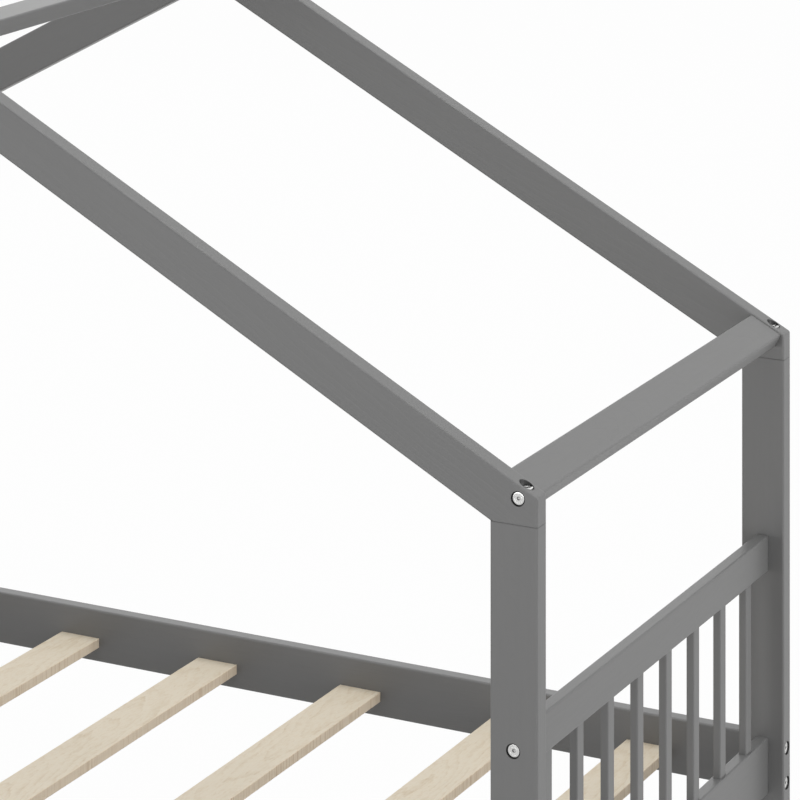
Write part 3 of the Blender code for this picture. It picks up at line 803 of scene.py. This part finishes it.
@dataclass
class Fastenings:
    """The bolts with their barrel nuts, and the screws down through the rafters' feet."""

    plating: ZincPlate
    half_length: float = 1.051
    half_width: float = 0.4825
    post_width: float = 0.0715
    post_thickness: float = 0.030
    joint_gap: float = 0.0003
    nut_distance: float = 0.034
    panel_place: float = 1.0145
    side_rail_place: float = 0.4675
    side_rail_heights: tuple[float, float] = (0.2696, 0.2143)
    top_rail_height: float = 0.5809
    lower_board_height: float = 0.2413
    eave_inset: float = 0.0293
    eave_height: float = 0.9257
    ridge_inset: float = 1.033
    ridge_height: float = 1.4451
    screw_inset: float = 0.0228
    screw_mouth: float = 0.9405
    screw_length: float = 0.0813
    head_underside: float = 0.0042
    rim_depth: float = 0.0024
    rim_bevel: float = 0.0003
    rim_rounding: float = 0.0004
    rim_slope: float = 0.0008
    face_dip: float = 0.0001
    groove_share: float = 0.64
    groove_half: float = 0.0003
    socket_flare: float = 0.0007
    socket_chamfer: float = 0.0005
    socket_cone: float = 0.0006
    bolt_thread: float = 0.024
    bolt_thread_depth: float = 0.0006
    crest_share: float = 0.6
    tip_chamfer: float = 0.0005
    bolt_fillet: float = 0.0004
    nut_chamfer: float = 0.0005
    screw_thread: tuple[float, float] = (0.004, 0.044)
    screw_thread_depth: float = 0.0009
    screw_point: float = 0.007
    screw_core: float = 0.045
    screw_neck: float = 0.046
    screw_slack: float = 0.0002
    screw_fillet: float = 0.0006
    bolt_seed: int = 10
    nut_seed: int = 20
    screw_seed: int = 30
    head_sizes: dict[str, float] = field(
        default_factory=lambda: {
            "Head Diameter": 0.0175,
            "Head Thickness": 0.0024,
            "Socket Width": 0.0045,
            "Socket Depth": 0.0032,
        }
    )
    ends: dict[str, int] = field(default_factory=lambda: {"head": 1, "foot": -1})
    sides: dict[str, int] = field(default_factory=lambda: {"front": -1, "back": 1})

    def corners(self) -> list[tuple[str, str, int, int]]:
        """Return the four corners' names and signs."""
        return [(e, s, x, y) for e, x in self.ends.items() for s, y in self.sides.items()]

    def cross_row(
        self, name: str, inset: float, height: float, nut_facing: Vector, packed: bool
    ) -> BoltRow:
        """Return a row of bolts that run across the bed into the ends of cross boards.

        Args:
            name: What the bolts hold.
            inset: Their distance in from the bed's ends.
            height: Their height over the floor.
            nut_facing: The way that the nuts face at the head end.
            packed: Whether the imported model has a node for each.

        Returns:
            The row.
        """
        seats, facings, nodes = [], [], []
        for end, side, x, y in self.corners():
            point = Vector((x * (self.half_length - inset), y * self.half_width, height))
            seats.append(Seat(point, Vector((0, y, 0))))
            facings.append(Vector((x * nut_facing.x, 0, nut_facing.z)))
            nodes.append(f"{name}_bolt_{end}_{side}")
        length = self.post_thickness + self.joint_gap + self.nut_distance
        return BoltRow(name, seats, facings, length, nodes if packed else [])

    def side_rail_row(self) -> BoltRow:
        """Return the bolts that run along the bed into the ends of the side rails."""
        seats, facings, nodes = [], [], []
        for end, side, x, y in self.corners():
            for level, height in zip(("upper", "lower"), self.side_rail_heights):
                point = Vector((x * self.half_length, y * self.side_rail_place, height))
                seats.append(Seat(point, Vector((x, 0, 0))))
                facings.append(Vector((0, -y, 0)))
                nodes.append(f"side_rail_bolt_{end}_{side}_{level}")
        length = self.post_width + self.joint_gap + self.nut_distance
        return BoltRow("side_rail", seats, facings, length, nodes)

    def rows(self) -> list[BoltRow]:
        """Return every row of bolts."""
        panel_inset = self.half_length - self.panel_place
        into_roof = Vector((-SLOPE_SIN, 0, -SLOPE_COS))
        inward, down = Vector((-1, 0, 0)), Vector((0, 0, -1))
        return [
            self.cross_row("eave", self.eave_inset, self.eave_height, into_roof, True),
            self.cross_row("ridge", self.ridge_inset, self.ridge_height, down, False),
            self.cross_row("top_rail", panel_inset, self.top_rail_height, inward, True),
            self.cross_row("lower_board", panel_inset, self.lower_board_height, inward, False),
            self.side_rail_row(),
        ]

    def head_profile(self, tree: TurnedPieces) -> list[tuple[object, object, bool]]:
        """Return the profile of a head, from under its rim to the bottom of its socket."""
        rim = tree.given("Head Diameter") / 2
        top = tree.given("Head Thickness") - self.head_underside
        flat = tree.given("Socket Width") / 2
        floor = top - tree.given("Socket Depth")
        groove, dipped = rim * self.groove_share, top - self.face_dip
        return [
            (rim - self.rim_bevel, top - self.rim_depth, False),
            (rim, top - (self.rim_depth - self.rim_bevel), False),
            (rim, top - self.rim_rounding, False),
            (rim - self.rim_rounding / 2, dipped, False),
            (rim - self.rim_slope, top, False),
            (groove + self.groove_half, dipped, False),
            (groove, top - self.groove_half, False),
            (groove - self.groove_half, dipped, False),
            (flat + self.socket_flare, dipped, False),
            (flat, top - self.socket_chamfer, True),
            (flat, floor, True),
            (0.0, floor - self.socket_cone, True),
        ]

    def bolt_tree(self, length: float) -> TurnedPieces:
        """Return the tree of a flat-headed bolt, threaded where its nut sits.

        Its length runs from the mouth of its recess to its tip.
        """
        sizes = {"Shank Diameter": 0.006, "Length": length, "Thread Pitch": 0.001}
        tree = TurnedPieces("bolt", self.head_sizes | sizes)
        shank, tip = tree.given("Shank Diameter") / 2, 0 - tree.given("Length")
        threaded, depth = tip + self.bolt_thread, self.bolt_thread_depth
        core = shank - depth
        profile = [
            (0.0, tip, False),
            (shank - (depth + self.tip_chamfer), tip, False),
            (core, tip + self.tip_chamfer, False),
            (core, threaded, False),
            (shank, threaded + depth, False),
            (shank, -self.head_underside - self.bolt_fillet, False),
            (shank + self.bolt_fillet, -self.head_underside, False),
        ]
        body = tree.turned(profile + self.head_profile(tree))
        pitch = tree.given("Thread Pitch")
        thread = tree.thread(tip + depth, threaded, core, pitch * self.crest_share, pitch)
        tree.finish([body, thread])
        return tree

    def nut_tree(self) -> TurnedPieces:
        """Return the tree of a barrel nut, slotted at its open end."""
        sizes = {"Diameter": 0.010, "Length": 0.012, "Slot Width": 0.0014, "Slot Depth": 0.0016}
        tree = TurnedPieces("barrel_nut", sizes)
        radius, half = tree.given("Diameter") / 2, tree.given("Length") / 2
        chamfer = self.nut_chamfer
        profile = [
            (0.0, 0 - half, False),
            (radius - chamfer, 0 - half, False),
            (radius, chamfer - half, False),
            (radius, half - chamfer, False),
            (radius - chamfer, half, False),
            (0.0, half, False),
        ]
        barrel = tree.turned(profile)
        depth = tree.given("Slot Depth")
        size = tree.combined(radius * 3, tree.given("Slot Width"), depth * 2)
        cutter = tree.node("GeometryNodeMeshCube", sockets={"Size": size}, output="Mesh")
        sockets = {"Geometry": cutter, "Translation": tree.combined(0, 0, half)}
        cutter = tree.node("GeometryNodeTransform", sockets=sockets)
        sockets = {"Mesh 1": barrel, "Mesh 2": [cutter]}
        tree.finish([tree.node("GeometryNodeMeshBoolean", {"solver": "EXACT"}, sockets)])
        return tree

    def screw_tree(self) -> TurnedPieces:
        """Return the tree of a wood screw with a point and a coarse thread."""
        sizes = {"Shank Diameter": 0.005, "Length": self.screw_length + self.head_underside}
        tree = TurnedPieces("wood_screw", self.head_sizes | sizes | {"Thread Pitch": 0.0025})
        shank, tip = tree.given("Shank Diameter") / 2, 0 - tree.given("Length")
        core, neck = shank - self.screw_thread_depth, shank - self.screw_slack
        profile = [
            (0.0, tip, False),
            (core, tip + self.screw_point, False),
            (core, tip + self.screw_core, False),
            (neck, tip + self.screw_neck, False),
            (neck, -self.head_underside - self.screw_fillet, False),
            (shank + self.screw_fillet, -self.head_underside, False),
        ]
        body = tree.turned(profile + self.head_profile(tree))
        pitch = tree.given("Thread Pitch")
        start, end = (tip + height for height in self.screw_thread)
        thread = tree.thread(start, end, core, self.screw_thread_depth, pitch)
        tree.finish([body, thread])
        return tree

    def screw_seats(self) -> list[Seat]:
        """Return the seats of the screws down through the rafters' feet."""
        inset, up = self.half_length - self.screw_inset, Vector((0, 0, 1))
        return [
            Seat(Vector((x * inset, y * self.side_rail_place, self.screw_mouth)), up)
            for _, _, x, y in self.corners()
        ]

    def seats(self) -> list[Seat]:
        """Return the seats of all the heads."""
        return [seat for row in self.rows() for seat in row.seats] + self.screw_seats()

    def build(self) -> None:
        """Make every row of bolts, the nuts of each row, and the screws."""
        for number, row in enumerate(self.rows()):
            tree = self.bolt_tree(row.length)
            self.add(f"{row.name}_bolts", tree, row.seats, self.bolt_seed + number, row.nodes)
            nut_seats = [
                Seat(seat.point - seat.facing * row.length, facing)
                for seat, facing in zip(row.seats, row.nut_facings)
            ]
            seed = self.nut_seed + number
            self.add(f"{row.name}_nuts", self.nut_tree(), nut_seats, seed, row.nodes)
        nodes = [f"rafter_screw_{end}_{side}" for end, side, _, _ in self.corners()]
        seats = self.screw_seats()
        self.add("rafter_screws", self.screw_tree(), seats, self.screw_seed, nodes)

    def add(
        self, name: str, tree: TurnedPieces, seats: list[Seat], seed: int, nodes: list[str]
    ) -> None:
        """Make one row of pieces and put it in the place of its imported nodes.

        Args:
            name: The new piece's name.
            tree: The tree that turns it.
            seats: Where each copy sits.
            seed: The seed of the copies' rolls.
            nodes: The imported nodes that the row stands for.
        """
        piece = tree.make(name, seats, seed, self.plating.on(name))
        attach(piece, "root")
        if nodes:
            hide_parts(*nodes)
        log.info("%s: %d pieces, %d faces", name, len(seats), len(piece.data.polygons))


@dataclass(frozen=True)
class Lamp:
    """A soft box, by its place, the point that it faces, its size and its power in watts."""

    name: str
    place: Triple
    target: Triple
    width: float
    height: float
    power: float

    def hang(self) -> None:
        """Add the lamp to the scene."""
        data = bpy.data.lights.new(self.name, "AREA")
        data.shape = "RECTANGLE"
        data.size, data.size_y = self.width, self.height
        data.energy = self.power
        lamp = bpy.data.objects.new(self.name, data)
        lamp.location = self.place
        facing = Vector(self.target) - Vector(self.place)
        lamp.rotation_euler = facing.to_track_quat("-Z", "Y").to_euler()
        lamp.visible_camera = False
        bpy.context.scene.collection.objects.link(lamp)


@dataclass
class Studio:
    """A plain pale floor in a white room, with soft boxes round the bed."""

    floor_size: float = 80.0
    floor_colour: Triple = (0.5, 0.5, 0.5)
    floor_white: float = 0.98
    ambient: float = 0.26
    lamps: tuple[Lamp, ...] = (
        Lamp("top_box", (0.0, 0.0, 8.0), (0.0, 0.0, 0.7), 8.0, 8.0, 375.0),
        Lamp("head_end_box", (6.0, 0.0, 2.0), (0.0, 0.0, 0.7), 4.0, 3.0, 122.0),
        Lamp("front_strip", (0.0, -5.0, 0.45), (0.0, 0.0, 0.45), 7.0, 0.8, 84.0),
        Lamp("back_box", (-3.5, 5.5, 2.5), (0.0, 0.0, 0.7), 5.0, 3.0, 28.0),
    )

    def seen_directly(self, graph: Graph) -> Value:
        """Return 1 for rays from the camera, from a mirror or through glass, else 0."""
        path = graph.node("ShaderNodeLightPath").socket.node.outputs
        names = ("Is Camera Ray", "Is Glossy Ray", "Is Transmission Ray")
        camera, glossy, through = (Value(graph, path[name]) for name in names)
        return graph.maths("MAXIMUM", camera, graph.maths("MAXIMUM", glossy, through))

    def light_world(self) -> None:
        """Make the world white where it is seen, and dimmer as a light."""
        world = bpy.data.worlds.new("white_room")
        bpy.context.scene.world = world
        world.use_nodes = True
        graph = Graph(world.node_tree)
        strength = self.ambient + self.seen_directly(graph) * (1 - self.ambient)
        sockets = {"Color": WHITE, "Strength": strength}
        background = graph.node("ShaderNodeBackground", sockets=sockets)
        graph.node("ShaderNodeOutputWorld", sockets={"Surface": background})

    def lay_floor(self) -> None:
        """Lay the floor, nearly white to the eye but for the bed's faint shadow."""
        half = self.floor_size / 2
        corners = [(-half, -half, 0), (half, -half, 0), (half, half, 0), (-half, half, 0)]
        mesh = bpy.data.meshes.new("floor")
        mesh.from_pydata(corners, [], [(0, 1, 2, 3)])
        floor = bpy.data.objects.new("floor", mesh)
        bpy.context.scene.collection.objects.link(floor)
        paint = bpy.data.materials.new("pale_floor")
        paint.use_nodes = True
        graph = Graph(paint.node_tree)
        white = graph.node("ShaderNodeEmission", sockets={"Color": WHITE})
        matt = graph.node("ShaderNodeBsdfDiffuse", sockets={"Color": self.floor_colour})
        share = self.seen_directly(graph) * self.floor_white
        mix = graph.node("ShaderNodeMixShader", sockets={"Fac": share, 1: matt, 2: white})
        graph.node("ShaderNodeOutputMaterial", sockets={"Surface": mix})
        mesh.materials.append(paint)

    def set_up(self) -> None:
        """Lay the floor, light the room and hang the lamps."""
        self.lay_floor()
        self.light_world()
        for lamp in self.lamps:
            lamp.hang()
        bpy.context.scene.view_settings.view_transform = "Standard"
        log.info("studio: %d lamps", len(self.lamps))


@dataclass(frozen=True)
class PhotoCamera:
    """The camera at the photograph's place, angle and cut.

    The photograph is cut from the lower part of a wide picture that was taken with a level
    lens: its uprights stay parallel although it looks down. As a lens shift that cut would be
    1.3 pictures high, and it would push the bed out of every other view. So the shift stays
    at 0 here. The camera is level and stands slanted on a turned stand, which shows the
    photograph's own cut.
    """

    place: Triple = (3.0942, -4.9278, 2.4625)
    turn: float = math.radians(27.554)
    focal_pixels: float = 3599.847
    axis_pixels: tuple[float, float] = (357.0, -630.056)
    picture_pixels: int = 800
    clip_end: float = 200.0

    def set_up(self) -> None:
        """Make the stand and the camera, and let the scene look through it."""
        scene = bpy.context.scene
        middle = self.picture_pixels / 2
        aside = (middle - self.axis_pixels[0]) / self.focal_pixels
        below = (middle - self.axis_pixels[1]) / self.focal_pixels
        stand = bpy.data.objects.new("camera_stand", None)
        stand.location = self.place
        stand.rotation_euler = (0.0, 0.0, self.turn)
        scene.collection.objects.link(stand)
        data = bpy.data.cameras.new("camera")
        longer = math.sqrt(1 + aside**2 + below**2)
        data.lens = self.focal_pixels * longer * data.sensor_width / self.picture_pixels
        data.clip_end = self.clip_end
        camera = bpy.data.objects.new("camera", data)
        scene.collection.objects.link(camera)
        camera.parent = stand
        slant = Matrix.Identity(4)
        slant[0][1] = aside
        slant[2][1] = -below
        camera.matrix_parent_inverse = slant
        camera.rotation_euler = (math.pi / 2, 0.0, 0.0)
        scene.camera = camera
        log.info("camera: lens %.1f mm", data.lens)


def main() -> None:
    """Dress the bed, fasten it together, and set up the studio and the camera."""
    logging.basicConfig(level=logging.INFO, format="%(message)s")
    lacquer, pine = GreyLacquer(), BarePine()
    fastenings = Fastenings(ZincPlate())
    seats = fastenings.seats()
    PhotoCamera().set_up()
    Studio().set_up()
    GableFrames(lacquer, seed=100).dress(seats)
    RoofBoards(lacquer, seed=120).dress(seats)
    EndPanel(lacquer, seed=140, end="head").dress(seats)
    EndPanel(lacquer, seed=160, end="foot").dress(seats)
    SideRails(lacquer, seed=180).dress(seats)
    Slats(pine, seed=200).dress(seats)
    fastenings.build()


if __name__ == "__main__":
    main()
